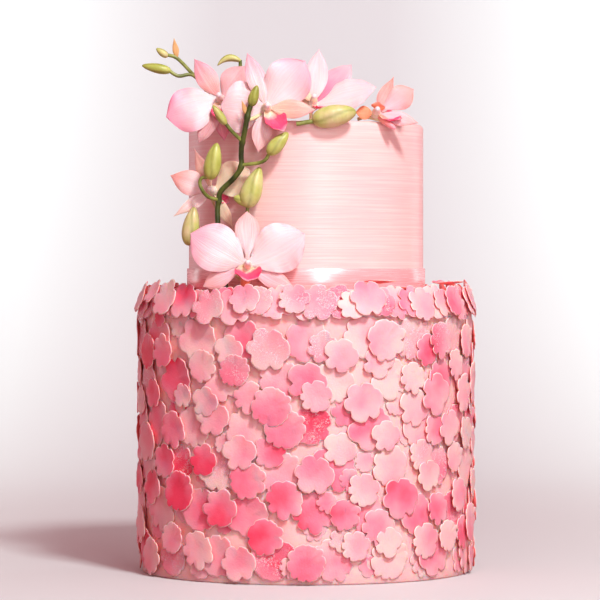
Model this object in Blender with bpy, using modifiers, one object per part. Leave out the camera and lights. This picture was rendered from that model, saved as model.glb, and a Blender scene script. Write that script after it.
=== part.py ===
"""Tiered wedding cake: two round tiers, sugar blossoms, a satin ribbon and a spray of orchids.

Metres, +Z up. The front faces -Y, and the origin is the centre of the cake's base.
"""
import math
import random

import bmesh
import bpy
from mathutils import Matrix, Vector

MM = 0.001

# Driving dimensions of the two tiers
LOWER_RADIUS = 106.0 * MM
LOWER_HEIGHT = 180.5 * MM
LOWER_EDGE = 4.0 * MM
UPPER_RADIUS = 76.0 * MM
UPPER_TOP = 288.6 * MM
UPPER_EDGE = 3.2 * MM
LOWER_SEGMENTS = 40
UPPER_SEGMENTS = 48
GAP = 0.3 * MM

# Ribbon round the foot of the upper tier
RIBBON_WIDTH = 15.0 * MM
RIBBON_THICK = 0.9 * MM

# Sugar blossoms: the large ones, which the smaller ones fill in between
BLOSSOM_SEED = 11
BLOSSOM_LOBES = 5
BLOSSOM_RADIUS = (12.8 * MM, 15.6 * MM)
BLOSSOM_NOTCH = 0.85
BLOSSOM_RISE = 3.0 * MM
BLOSSOM_CENTRE = 0.9 * MM
BLOSSOM_ROOT = 4.0 * MM
BLOSSOMS_AROUND = 18
SIDE_ROWS = 6
SIDE_FIRST = 16.0 * MM
SIDE_PITCH = 27.5 * MM
EDGE_TILT = math.radians(21)
EDGE_HEIGHT = 174.5 * MM
EDGE_CIRCLE = 104.3 * MM
EDGE_SHRINK = 0.80
LEDGE_AROUND = 12
LEDGE_CIRCLE = 91.5 * MM
LEDGE_RADIUS = (10.0 * MM, 11.2 * MM)

# Orchid petals, lips, columns and flower stalks
PETAL_THICK = 1.0 * MM
PETAL_ROWS = 5
SEPAL_ROWS = 3
PETAL_BOW = 0.05
PETAL_CUP = -0.05
PETAL_WAVE = 0.04
TIP_ROUND = 0.04
CLAW = 0.20
HEART = 3.6 * MM
PETAL_START = 2.7 * MM
COLUMN_LENGTH = 8.0 * MM
COLUMN_RADIUS = 2.4 * MM
STALK_RADIUS = 1.15 * MM
THICK_STALK = 1.5 * MM
STEM_RADIUS = 1.75 * MM

# Outlines of petals: the share of the length where they are widest, and how pointed they are
ROUND = (0.56, 0.62)
OVAL = (0.50, 0.85)
SPOON = (0.66, 0.75)
LANCE = (0.44, 1.10)

FRONT = Vector((0, -1, 0))


def mm(x, y, z):
    """A point given in millimetres."""
    return Vector((x, y, z)) * MM


# Scene and materials

for old in list(bpy.data.objects):
    bpy.data.objects.remove(old, do_unlink=True)

cake = bpy.data.collections.new("tiered_wedding_cake")
bpy.context.scene.collection.children.link(cake)


def material(name, colour, roughness, coat=0.0):
    made = bpy.data.materials.new(name)
    made.use_nodes = True
    shader = made.node_tree.nodes["Principled BSDF"]
    shader.inputs["Base Color"].default_value = (*colour, 1)
    shader.inputs["Roughness"].default_value = roughness
    shader.inputs["Metallic"].default_value = 0.0
    shader.inputs["Coat Weight"].default_value = coat
    made.diffuse_color = (*colour, 1)
    return made


SUGAR_BLOSSOM = material("sugar_blossom", (0.93, 0.42, 0.45), 0.6)
PEARL_ICING = material("pearl_icing", (0.90, 0.66, 0.62), 0.35, coat=0.2)
SATIN = material("satin_ribbon", (0.93, 0.44, 0.46), 0.4)
ORCHID = material("orchid_petal", (0.92, 0.76, 0.78), 0.45)
BUD = material("orchid_bud", (0.55, 0.58, 0.22), 0.4)


# Shape tools

def add_object(name, mesh, surface):
    made = bpy.data.objects.new(name, mesh)
    mesh.materials.clear()
    mesh.materials.append(surface)
    cake.objects.link(made)
    return made


def from_bmesh(name, bm, surface):
    mesh = bpy.data.meshes.new(name)
    bm.to_mesh(mesh)
    bm.free()
    return add_object(name, mesh, surface)


def evaluated_mesh(piece, name):
    """The mesh of an object with its modifiers or its bevel applied, caps welded."""
    bpy.context.view_layer.update()
    seen = piece.evaluated_get(bpy.context.evaluated_depsgraph_get())
    mesh = bpy.data.meshes.new_from_object(seen)
    mesh.name = name
    bm = bmesh.new()
    bm.from_mesh(mesh)
    bmesh.ops.remove_doubles(bm, verts=bm.verts, dist=0.02 * MM)
    bm.to_mesh(mesh)
    bm.free()
    return mesh


def turned(name, profile, segments, surface):
    """A solid of revolution from (radius, height) points that run down its outer side."""
    mesh = bpy.data.meshes.new(name)
    mesh.from_pydata([(r, 0, z) for r, z in profile], [(i, i + 1) for i in range(len(profile) - 1)], [])
    piece = add_object(name, mesh, surface)
    screw = piece.modifiers.new("Screw", "SCREW")
    screw.axis = "Z"
    screw.steps = segments
    screw.render_steps = segments
    screw.use_merge_vertices = True
    screw.merge_threshold = 0.01 * MM
    piece.data = evaluated_mesh(piece, name)
    piece.modifiers.clear()
    return piece


def rounded_tier(name, radius, bottom, top, edge, segments, surface):
    arc = []
    for step in range(4):
        turn = math.radians(90 * step / 3)
        arc.append((radius - edge + edge * math.sin(turn), top - edge + edge * math.cos(turn)))
    return turned(name, [(0, top), *arc, (radius, bottom), (0, bottom)], segments, surface)


def fuse(name, first, others, surface, solver="EXACT"):
    """One solid: a Boolean union of an object with a collection of others, applied."""
    joined = bpy.data.collections.new(name + "_pieces")
    bpy.context.scene.collection.children.link(joined)
    for piece in others:
        cake.objects.unlink(piece)
        joined.objects.link(piece)
    union = first.modifiers.new("Union", "BOOLEAN")
    union.operation = "UNION"
    union.operand_type = "COLLECTION"
    union.collection = joined
    union.solver = solver
    mesh = evaluated_mesh(first, name)
    for piece in others:
        bpy.data.objects.remove(piece, do_unlink=True)
    bpy.data.collections.remove(joined)
    bpy.data.objects.remove(first, do_unlink=True)
    drop_scraps(mesh)
    made = add_object(name, mesh, surface)
    made.data.name = name
    return made


def drop_scraps(mesh):
    """Keep only the largest connected shell, so a sealed pocket or a loose scrap goes."""
    bm = bmesh.new()
    bm.from_mesh(mesh)
    left = set(bm.verts)
    shells = []
    while left:
        seed = left.pop()
        shell = {seed}
        edge_of_shell = [seed]
        while edge_of_shell:
            at = edge_of_shell.pop()
            for edge in at.link_edges:
                other = edge.other_vert(at)
                if other in left:
                    left.discard(other)
                    shell.add(other)
                    edge_of_shell.append(other)
        shells.append(shell)
    shells.sort(key=len, reverse=True)
    for shell in shells[1:]:
        bmesh.ops.delete(bm, geom=list(shell), context="VERTS")
    bm.to_mesh(mesh)
    bm.free()


# Lower tier with its sugar blossoms

def blossom(centre, outward, spin, radius):
    """A cupped five-lobed cut-out, rooted in the icing by a cone below it."""
    bm = bmesh.new()
    top = bm.verts.new((0, 0, BLOSSOM_CENTRE))
    root = bm.verts.new((0, 0, -BLOSSOM_ROOT))
    ring = []
    for step in range(2 * BLOSSOM_LOBES):
        turn = spin + math.pi * step / BLOSSOM_LOBES
        notch = step % 2 == 1
        reach = radius * (BLOSSOM_NOTCH if notch else 1.0)
        rise = BLOSSOM_RISE * (0.55 if notch else 1.0)
        ring.append(bm.verts.new((reach * math.cos(turn), reach * math.sin(turn), rise)))
    for a, b in zip(ring, ring[1:] + ring[:1]):
        bm.faces.new((top, a, b))
        bm.faces.new((root, b, a))
    facing = outward.to_track_quat("Z", "Y").to_matrix().to_4x4()
    bmesh.ops.transform(bm, matrix=Matrix.Translation(centre) @ facing, verts=bm.verts)
    return from_bmesh("blossom", bm, SUGAR_BLOSSOM)


def blossom_sites():
    """Centre, outward direction, spin and radius of each large blossom, row by row."""
    draw = random.Random(BLOSSOM_SEED)
    sites = []
    for row in range(SIDE_ROWS + 1):
        on_edge = row == SIDE_ROWS
        for place in range(BLOSSOMS_AROUND):
            around = 2 * math.pi * (place + 0.5 * (row % 2) + draw.uniform(-0.10, 0.10)) / BLOSSOMS_AROUND
            lift = draw.uniform(-2.2, 2.2) * MM
            spin = draw.uniform(0, 2 * math.pi)
            radius = draw.uniform(*BLOSSOM_RADIUS)
            lean = draw.uniform(-0.11, 0.11)
            swing = draw.uniform(-0.11, 0.11)
            if on_edge:
                lean = EDGE_TILT + lean
                reach = EDGE_CIRCLE
                height = EDGE_HEIGHT
                radius *= EDGE_SHRINK
            else:
                reach = LOWER_RADIUS
                height = max(SIDE_FIRST + SIDE_PITCH * row + lift, radius + 0.9 * MM)
            outward = Vector((math.cos(lean) * math.cos(around + swing),
                              math.cos(lean) * math.sin(around + swing), math.sin(lean)))
            centre = Vector((reach * math.cos(around), reach * math.sin(around), height))
            sites.append((centre, outward, spin, radius))
    for place in range(LEDGE_AROUND):
        around = 2 * math.pi * (place + draw.uniform(-0.08, 0.08)) / LEDGE_AROUND
        spin = draw.uniform(0, 2 * math.pi)
        radius = draw.uniform(*LEDGE_RADIUS)
        centre = Vector((LEDGE_CIRCLE * math.cos(around), LEDGE_CIRCLE * math.sin(around), LOWER_HEIGHT))
        if centre.y < -45 * MM and -92 * MM < centre.x < 20 * MM:
            continue
        sites.append((centre, Vector((0, 0, 1)), spin, radius))
    return sites


core = rounded_tier("lower_core", LOWER_RADIUS, 0, LOWER_HEIGHT, LOWER_EDGE, LOWER_SEGMENTS, SUGAR_BLOSSOM)
blossoms = [blossom(*site) for site in blossom_sites()]
fuse("lower_tier", core, blossoms, SUGAR_BLOSSOM)

# Upper tier and its ribbon

upper_foot = LOWER_HEIGHT + GAP
rounded_tier("upper_tier", UPPER_RADIUS, upper_foot, UPPER_TOP, UPPER_EDGE, UPPER_SEGMENTS, PEARL_ICING)
ribbon_in = UPPER_RADIUS + GAP
ribbon_out = ribbon_in + RIBBON_THICK
ribbon_foot = LOWER_HEIGHT + GAP
turned("ribbon", [(ribbon_in, ribbon_foot + RIBBON_WIDTH), (ribbon_out, ribbon_foot + RIBBON_WIDTH),
                  (ribbon_out, ribbon_foot), (ribbon_in, ribbon_foot),
                  (ribbon_in, ribbon_foot + RIBBON_WIDTH)], UPPER_SEGMENTS, SATIN)

# Orchids

def half_width(along, outline):
    """Half width of a petal, 0 to 1, at a share of its length."""
    widest, pointed = outline
    swell = math.sin(math.pi * along ** (math.log(0.5) / math.log(widest)))
    return max(max(swell, 0.0) ** pointed, CLAW)


def petal(base, tip, width, face, outline, rows, bow=PETAL_BOW, cup=PETAL_CUP):
    """A thin wavy solid from base to tip. Both its faces are split into triangles alike."""
    along = (tip - base).normalized()
    length = (tip - base).length
    across = along.cross(face).normalized()
    out = across.cross(along)
    bm = bmesh.new()
    bmesh.ops.create_grid(bm, x_segments=rows, y_segments=2, size=0.5)
    for point in bm.verts:
        u = 0.5 - 0.5 * math.cos(math.pi * (point.co.x + 0.5))
        side = 2 * point.co.y
        reach = length * (u + TIP_ROUND * (1 - side * side) * (2 * u - 1))
        swing = 0.5 * width * half_width(u, outline) * side
        lift = bow * length * 4 * u * (1 - u) + cup * width * side * side * math.sin(math.pi * u)
        lift += PETAL_WAVE * width * side * math.sin(3 * math.pi * u)
        point.co = base + along * reach + across * swing + out * lift
    bmesh.ops.triangulate(bm, faces=bm.faces)
    piece = from_bmesh("petal", bm, ORCHID)
    shell = piece.modifiers.new("Solidify", "SOLIDIFY")
    shell.thickness = PETAL_THICK
    shell.offset = 0
    piece.data = evaluated_mesh(piece, "petal")
    piece.modifiers.clear()
    return piece


def egg(base, tip, radius, taper=0.0, bend=Vector(), surface=ORCHID, sides=5, rings=4):
    """A rounded body from base to tip, narrower towards the tip by its taper."""
    bm = bmesh.new()
    bmesh.ops.create_uvsphere(bm, u_segments=sides, v_segments=rings, radius=1.0)
    half = 0.5 * (tip - base)
    turn = half.to_track_quat("Z", "Y").to_matrix()
    for point in bm.verts:
        thin = radius * (1 - taper * point.co.z)
        flat = turn @ Vector((point.co.x * thin, point.co.y * thin, 0))
        point.co = base + half * (1 + point.co.z) + flat + bend * (1 - point.co.z ** 2)
    return from_bmesh("egg", bm, surface)


def tube(points, radius, surface=BUD):
    """A stalk of even thickness through a list of points, with closed ends."""
    path = bpy.data.curves.new("stalk", "CURVE")
    path.dimensions = "3D"
    path.bevel_depth = radius
    path.bevel_resolution = 1 if radius > STALK_RADIUS else 0
    path.use_fill_caps = True
    spline = path.splines.new("POLY")
    spline.points.add(len(points) - 1)
    for at, point in zip(spline.points, points):
        at.co = (*point, 1)
    piece = bpy.data.objects.new("stalk", path)
    cake.objects.link(piece)
    mesh = evaluated_mesh(piece, "stalk")
    bpy.data.objects.remove(piece, do_unlink=True)
    return add_object("stalk", mesh, surface)


def orchid(name, centre, face, petals, sepals, lip, chin, stalk):
    """One flower: two broad petals, three sepals, a lip, a column and its short stalk.

    The ends of petals, sepals, lip and chin are offsets from the centre, each with its width.
    """
    face = Vector(face).normalized()
    heart = egg(centre - face * HEART, centre + face * HEART, HEART)
    pieces = []
    for rows, blades in ((PETAL_ROWS, petals), (SEPAL_ROWS, sepals)):
        for x, y, z, width, outline in blades:
            tip = mm(x, y, z)
            base = centre + tip.normalized() * PETAL_START
            pieces.append(petal(base, centre + tip, width * MM, face, outline, rows))
    x, y, z, width = lip
    pieces.append(petal(centre + face * 0.5 * MM, centre + mm(x, y, z), width * MM,
                        face + Vector((0, 0, 0.8)), ROUND, SEPAL_ROWS, bow=-0.12, cup=0.30))
    pieces.append(egg(centre, centre + face * COLUMN_LENGTH + mm(0, 0, 1.5), COLUMN_RADIUS, taper=0.2))
    x, y, z, radius = chin
    pieces.append(egg(centre, centre + mm(x, y, z), radius * MM))
    pieces.append(tube([centre + mm(x, y, z) * 0.5] + [mm(*point) for point in stalk], STALK_RADIUS))
    return fuse(name, heart, pieces, ORCHID)


orchid("orchid_low_front", mm(-36.8, -84, 197.4), (0.05, -1, 0.1),
       petals=[(-34.2, -1, 19.6, 31, ROUND), (34.7, -1, 19.4, 32, ROUND)],
       sepals=[(-0.2, 4, 33.2, 15.5, SPOON), (-26.8, 2, -12.5, 11.5, SPOON), (29.1, 2, -14.6, 12, OVAL)],
       lip=(1, -9, -9, 17), chin=(-2, 3, -16.4, 3.2), stalk=[(-41, -76, 189), (-51, -72.5, 196)])
orchid("orchid_top_left", mm(-53.6, -62, 302), (-0.2, -1, 0.2),
       petals=[(-33.4, -2, -10.6, 30, ROUND), (14.5, 6, 21, 19, ROUND)],
       sepals=[(-16.4, 3, 25.2, 13.5, OVAL), (-13.9, -4, -27, 12, OVAL), (2, -3, -25, 11, OVAL)],
       lip=(1, -8, -13, 13), chin=(2, 5, -5, 2.6), stalk=[(-49, -54, 296), (-47.5, -50.5, 289.6)])
orchid("orchid_top_middle", mm(-25, -80, 296.1), (0.1, -1, 0),
       petals=[(-27.6, 2, 1.3, 33, ROUND), (23.4, 0, 28.5, 30, ROUND)],
       sepals=[(-11.6, 2, 33.4, 12.5, OVAL), (-5, 0, -27, 12.5, OVAL), (29.6, -5, -1.5, 12, OVAL)],
       lip=(10.6, -9, -14.4, 14), chin=(-2, 3, -4, 2.6), stalk=[(-30, -79.5, 291), (-35.6, -84.6, 288.5)])
orchid("orchid_top_right", mm(4.4, -58, 298.6), (0.1, -0.8, 0.6),
       petals=[(38.4, -8, 10.8, 24, ROUND), (3.6, 2, 34.8, 15, OVAL)],
       sepals=[(23.4, 8, 25.4, 17, ROUND), (-6.5, -1, 13.6, 8, OVAL), (-11, 5, 3, 8, LANCE)],
       lip=(7, -7, -1, 9), chin=(-3, 0, -4.5, 2.4), stalk=[(3, -57, 293), (3, -56, 289.4)])
orchid("orchid_far_right", mm(44.1, -61, 293.5), (0.1, -1, 0.15),
       petals=[(22.8, -1, 14.8, 16, SPOON), (-12.8, -5, 0.6, 9, OVAL)],
       sepals=[(10.8, 3, 22.5, 9, LANCE), (25.6, -4, -6, 9, OVAL), (2, -5, 7, 9, LANCE)],
       lip=(15.6, -6, -3.2, 9), chin=(12, -5, -10, 2.4), stalk=[(38, -58, 291.4), (32.6, -56, 290.1)])
orchid("orchid_side", mm(-58.8, -62, 244.6), (-0.3, -1, 0),
       petals=[(22.8, -7.5, 12.5, 24, ROUND), (-25.8, -4, 9.5, 16, OVAL)],
       sepals=[(-11.3, -2, 25.8, 9, LANCE), (-23.8, -4, -15.4, 8, LANCE), (12, -0.5, -22, 8, OVAL)],
       lip=(10.2, 0.4, -6.9, 8.4), chin=(-2, 3, -4, 2.2), stalk=[(-59, -60, 239), (-55.2, -54, 231)])

# Buds and stalks


def bud(base, tip, radius, taper=0.25, bend=(0, 0, 0)):
    return egg(mm(*base), mm(*tip), radius * MM, taper, mm(*bend), BUD, sides=8, rings=5)


def stalk(*points):
    return tube([mm(*point) for point in points], STALK_RADIUS)


main_stem = tube([mm(*point) for point in (
    (-50, -68, 181.3), (-54, -67, 205), (-55.8, -66.5, 229.5), (-55, -67.5, 238.3), (-53.5, -69.5, 244.5),
    (-45.2, -73.5, 252.6), (-40.8, -76, 259.4), (-40.7, -77.5, 266.3), (-40.3, -80, 273),
    (-38.8, -83.5, 279.4), (-37.3, -86, 287), (-36.4, -87, 292), (-34.3, -88, 298.5))], STEM_RADIUS)
fuse("bud_spray", main_stem, [
    bud((-34.5, -88, 296.6), (-30.5, -89.5, 309.7), 3.2),
    petal(mm(-36.8, -86.8, 290.5), mm(-40, -88.5, 300), 3 * MM, FRONT, LANCE, SEPAL_ROWS),
    bud((-49.9, -86, 285.3), (-58.2, -87, 297.4), 2.7),
    stalk((-40, -81.5, 275.3), (-46, -84.5, 281), (-50.5, -86, 286.5)),
    bud((-60.5, -79, 251.3), (-55.7, -80, 274.3), 5.3),
    stalk((-55.6, -68, 239), (-61, -74, 240.5), (-64.5, -77, 244), (-66.6, -78, 249), (-65.3, -78.6, 252.4),
          (-60.8, -79, 253)),
    bud((-24, -84, 267), (-11.3, -84, 280.6), 4.5),
    stalk((-40.8, -76.5, 260.5), (-27.2, -82, 262.5), (-22.5, -84, 268.5)),
    bud((-38, -77, 234), (-28.8, -78, 259.3), 6.4, 0.38),
    bud((-45.5, -77, 240.4), (-33, -77.4, 236.5), 3.6, -0.2),
    stalk((-54.5, -67, 209), (-46, -72, 210.5), (-38.5, -75.5, 218), (-36.5, -76.5, 236))], BUD)
fuse("bud_sprig_left", stalk((-56, -44, 289.4), (-62, -46, 306), (-71.5, -48, 318.2), (-81, -50, 317.8),
                             (-88, -50, 322)), [
    bud((-85.5, -50, 321), (-104, -50, 324.4), 3.1),
    stalk((-71.5, -48, 318.6), (-81.8, -50, 329), (-90, -50, 331.5)),
    bud((-87.5, -50, 330), (-95, -50, 335.2), 2.3),
    petal(mm(-81.8, -50, 328.6), mm(-83.7, -50, 341.2), 4 * MM, FRONT, LANCE, SEPAL_ROWS)], BUD)
fuse("bud_top", stalk((-45, -45, 289.2), (-42, -46, 308), (-41.8, -46, 328)), [
    bud((-40.8, -46, 327.4), (-56.4, -46, 324.6), 2.3, 0.3, bend=(-0.9, 0, 3.4))], BUD)
fuse("bud_low_left", stalk((-55.8, -68.1, 207), (-66, -71, 206.5), (-73, -70.5, 213.5)), [
    bud((-74.3, -70.5, 210.2), (-70.3, -70, 234.4), 5.3)], BUD)
edge_stalk = tube([mm(-6.2, -80.5, 286.2), mm(6, -80.3, 288)], THICK_STALK)
fuse("bud_on_edge", edge_stalk, [bud((3.4, -80.2, 288.5), (31.2, -79.6, 293.8), 7.0, 0.12)], BUD)
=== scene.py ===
import bisect
import collections
import itertools
import math
import random

import bmesh
import bpy
from mathutils import Euler, Matrix, Vector


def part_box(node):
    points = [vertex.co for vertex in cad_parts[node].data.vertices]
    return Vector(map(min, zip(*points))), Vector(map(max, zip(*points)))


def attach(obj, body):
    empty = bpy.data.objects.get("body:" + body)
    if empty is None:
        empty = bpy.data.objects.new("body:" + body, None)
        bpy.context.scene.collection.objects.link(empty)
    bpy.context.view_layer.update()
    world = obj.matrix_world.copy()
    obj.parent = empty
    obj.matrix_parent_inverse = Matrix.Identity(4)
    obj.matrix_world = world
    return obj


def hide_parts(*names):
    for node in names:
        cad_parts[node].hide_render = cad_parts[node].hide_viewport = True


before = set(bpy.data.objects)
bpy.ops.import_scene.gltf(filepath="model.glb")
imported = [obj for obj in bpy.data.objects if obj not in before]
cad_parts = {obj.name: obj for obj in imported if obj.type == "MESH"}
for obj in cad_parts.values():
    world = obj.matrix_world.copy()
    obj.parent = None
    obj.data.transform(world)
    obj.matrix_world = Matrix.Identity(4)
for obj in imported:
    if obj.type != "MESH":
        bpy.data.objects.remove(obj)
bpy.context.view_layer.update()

# Lower tier: the icing
# A tall sponge under rolled sugar paste, smoothed by hand, cream with a breath of pink.
# It stands on its flat base, and the icing shows only in the gaps between the blossoms.

MM = 0.001
upper_low, upper_high = (Vector(corner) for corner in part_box("upper_tier"))
ledge_height = upper_low.z - 0.3 * MM
lower_radius = 106.0 * MM


def node(tree, kind, inputs=None, **settings):
    """Add a node. Its inputs are set to values, or linked where a socket is given."""
    made = tree.nodes.new(kind)
    for key, value in settings.items():
        setattr(made, key, value)
    for socket, value in (inputs or {}).items():
        if isinstance(value, bpy.types.NodeSocket):
            tree.links.new(value, made.inputs[socket])
        else:
            made.inputs[socket].default_value = value
    return made


def new_finish(name, roughness, **sockets):
    """A material with its tree and shader. What is the same all over is set on the shader."""
    finish = bpy.data.materials.new(name)
    finish.use_nodes = True
    tree = finish.node_tree
    shader = tree.nodes["Principled BSDF"]
    shader.inputs["Roughness"].default_value = roughness
    for socket, value in sockets.items():
        shader.inputs[socket.replace("_", " ").title()].default_value = value
    return finish, tree, shader


def object_noise(tree, scale, detail=3.0, stretch=(1, 1, 1), roughness=0.5):
    """Noise in object space, stretched along the axes."""
    place = node(tree, "ShaderNodeTexCoord")
    fitted = node(tree, "ShaderNodeMapping", {"Vector": place.outputs["Object"], "Scale": stretch})
    made = node(tree, "ShaderNodeTexNoise", {"Vector": fitted.outputs["Vector"], "Scale": scale,
                                             "Detail": detail, "Roughness": roughness})
    return made.outputs["Fac"]


def ramp(tree, factor, stops):
    """Colour that runs through (position, colour) stops."""
    made = node(tree, "ShaderNodeValToRGB", {"Fac": factor})
    bar = made.color_ramp.elements
    while len(bar) < len(stops):
        bar.new(0.5)
    for element, (position, colour) in zip(bar, stops):
        element.position = position
        element.color = (*colour, 1)
    return made.outputs["Color"]


def spread(tree, value, low, high, out_low, out_high):
    """The value moved from one range to another, held at its ends."""
    made = node(tree, "ShaderNodeMapRange", {"Value": value, "From Min": low, "From Max": high,
                                             "To Min": out_low, "To Max": out_high})
    return made.outputs["Result"]


def mixed(tree, share, first, second, blend="MIX"):
    """Two colours mixed by a share."""
    made = tree.nodes.new("ShaderNodeMix")
    made.data_type = "RGBA"
    made.blend_type = blend
    for socket, value in ((0, share), (6, first), (7, second)):
        if isinstance(value, bpy.types.NodeSocket):
            tree.links.new(value, made.inputs[socket])
        elif socket:
            made.inputs[socket].default_value = (*value, 1)
        else:
            made.inputs[socket].default_value = value
    return made.outputs[2]


def raised(tree, shader, height, depth, strength=1.0):
    """Relief on the surface: a height from 0 to 1 stands the given depth."""
    made = node(tree, "ShaderNodeBump", {"Height": height, "Distance": depth, "Strength": strength})
    tree.links.new(made.outputs["Normal"], shader.inputs["Normal"])


def new_piece(name, mesh, *finishes):
    """An object at the origin with its finishes."""
    made = bpy.data.objects.new(name, mesh)
    bpy.context.scene.collection.objects.link(made)
    mesh.materials.clear()
    for finish in finishes:
        mesh.materials.append(finish)
    return made


def applied(piece):
    """Put the modifiers' result in the piece's own mesh."""
    bpy.context.view_layer.update()
    seen = piece.evaluated_get(bpy.context.evaluated_depsgraph_get())
    piece.data = bpy.data.meshes.new_from_object(seen)
    piece.data.name = piece.name
    piece.modifiers.clear()
    return piece


def turned(name, profile, finish, around=192):
    """A closed turned shape from (radius, height) points, its outer side run from top to bottom."""
    mesh = bpy.data.meshes.new(name)
    mesh.from_pydata([(r, 0, z) for r, z in profile], [(i, i + 1) for i in range(len(profile) - 1)], [])
    piece = new_piece(name, mesh, finish)
    screw = piece.modifiers.new("Screw", "SCREW")
    screw.steps = around
    screw.render_steps = around
    screw.use_merge_vertices = True
    screw.merge_threshold = 0.01 * MM
    applied(piece)
    piece.data.shade_smooth()
    piece.data.set_sharp_from_angle(angle=math.radians(50))
    return piece


def tier_profile(radius, foot, top, edge, rise=0.0):
    """A tier's half outline: a domed top, a rounded edge and a straight side."""
    points = [(radius * share, top - rise * share ** 2) for share in (0, 0.25, 0.5, 0.75, 0.9)]
    for step in range(9):
        turn = math.radians(90 * step / 8)
        points.append((radius - edge + edge * math.sin(turn), top - rise - edge + edge * math.cos(turn)))
    side = 24
    for step in range(1, side):
        points.append((radius, top - rise - edge + (foot + 1.2 * MM - top + rise + edge) * step / side))
    points += [(radius, foot + 1.2 * MM), (radius - 0.4 * MM, foot + 0.3 * MM), (radius - 1.2 * MM, foot)]
    return points + [(0, foot)]


icing, tree, shader = new_finish("cream_icing", 0.5, subsurface_weight=0.8, subsurface_scale=0.005)
tint = mixed(tree, spread(tree, object_noise(tree, 40), 0.35, 0.65, 0, 1),
             (0.95, 0.64, 0.62), (0.95, 0.54, 0.55))
tree.links.new(tint, shader.inputs["Base Color"])
tree.links.new(spread(tree, object_noise(tree, 260), 0.3, 0.7, 0.42, 0.6), shader.inputs["Roughness"])
raised(tree, shader, object_noise(tree, 420, 4), 0.15 * MM)

icing_edge = 12.0 * MM
over_sponge = 0.2 * MM
lower_outline = tier_profile(lower_radius + over_sponge, 0, ledge_height, icing_edge)
lower_icing = turned("lower_icing", lower_outline, icing)
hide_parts("lower_tier")
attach(lower_icing, "root")

# Lower tier: the sugar blossoms
# Each is rolled thin from tinted sugar paste, cut with a lobed cutter, cupped on foam and stuck on by its
# middle. The large ones lie where the solid has them, the others fill in between, and each lies clear of
# those under it, with its proud rim to the lower left and its other rim tucked in.

blossom_seed = 11
blossom_radius = (12.8 * MM, 15.6 * MM)
blossoms_around = 18
side_rows = 6
side_first = 16.0 * MM
side_pitch = 27.5 * MM
edge_tilt = math.radians(21)
edge_height = 174.5 * MM
edge_circle = 104.3 * MM
edge_shrink = 0.80
ledge_around = 12
ledge_circle = 91.5 * MM
ledge_radius = (10.0 * MM, 11.2 * MM)
blossom_size = 12.0 * MM
paste = 0.7 * MM
top_rise = 0.6 * MM
rim_drop = 0.12 * MM
root_depth = 1.6 * MM
proud = 0.075
standing = 0.3 * MM
deepest = 0.8 * MM
clear = 0.15 * MM
rim_room = 0.9 * paste

outlines = []
Laid = collections.namedtuple("Laid", "centre radius size back outline rim place shape")


def cut_out(name, lobes, notch, lift, seed):
    """One cut blossom at its standard size: a cupped top, a thin rim and a root below."""
    draw = random.Random(seed)
    lobe_lift = [draw.uniform(0.3, 1.6) for _ in range(lobes)]
    lobe_reach = [draw.uniform(0.88, 1.06) for _ in range(lobes)]
    lobe_width = [draw.uniform(0.70, 1.35) for _ in range(lobes)]
    notch_depth = [notch * draw.uniform(0.55, 1.35) for _ in range(lobes)]
    per_lobe = 5
    around = lobes * per_lobe
    # The bottom ring's reach of 1.2 and the root's 1.3 mark the underside, which the sugar_blossom material
    # paints dark red as painted shadow.
    rings = ((0.42, 0.0, 0.42), (0.90, 0.0, 0.90), (1.0, -rim_drop, 1.0), (1.01, -paste, 1.2))
    bm = bmesh.new()
    reach_of = bm.verts.layers.float.new("reach")
    aside_of = bm.verts.layers.float.new("aside")
    middle = bm.verts.new((0, 0, 0.35 * MM))
    loops = []
    for share, drop, seen_as in rings:
        loop = []
        for step in range(around):
            within = (step % per_lobe) / per_lobe
            lobe = step // per_lobe
            blend = 0.5 - 0.5 * math.cos(2 * math.pi * within)
            turn = 2 * math.pi * (sum(lobe_width[:lobe]) + lobe_width[lobe] * within) / sum(lobe_width)
            swell = math.sin(math.pi * within) ** 0.5
            cut = notch_depth[lobe] * (1 - within) + notch_depth[(lobe + 1) % lobes] * within
            reach = blossom_size * share * (1 - cut * (1 - swell) * share ** 3)
            reach *= 1 + (lobe_reach[lobe] - 1) * blend
            proud_side = max(0.0, math.cos(turn)) ** 2.5
            rise = lift * share ** 2 * proud_side * (0.6 + 0.4 * blend * lobe_lift[lobe])
            point = bm.verts.new((reach * math.cos(turn), reach * math.sin(turn), top_rise + rise + drop))
            point[reach_of] = seen_as
            point[aside_of] = share * math.cos(turn + seed)
            loop.append(point)
        loops.append(loop)
    outlines.append([(math.atan2(point.co.y, point.co.x) % (2 * math.pi), math.hypot(point.co.x, point.co.y),
                      point.co.z) for point in loops[2]])
    root = bm.verts.new((0, 0, -root_depth))
    root[reach_of] = 1.3
    for step in range(around):
        after = (step + 1) % around
        bm.faces.new((middle, loops[0][step], loops[0][after]))
        for inner, outer in zip(loops, loops[1:]):
            bm.faces.new((inner[step], outer[step], outer[after], inner[after]))
        bm.faces.new((loops[-1][step], root, loops[-1][after]))
    mesh = bpy.data.meshes.new(name)
    bm.to_mesh(mesh)
    bm.free()
    mesh.shade_smooth()
    return bpy.data.objects.new(name, mesh)


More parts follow.
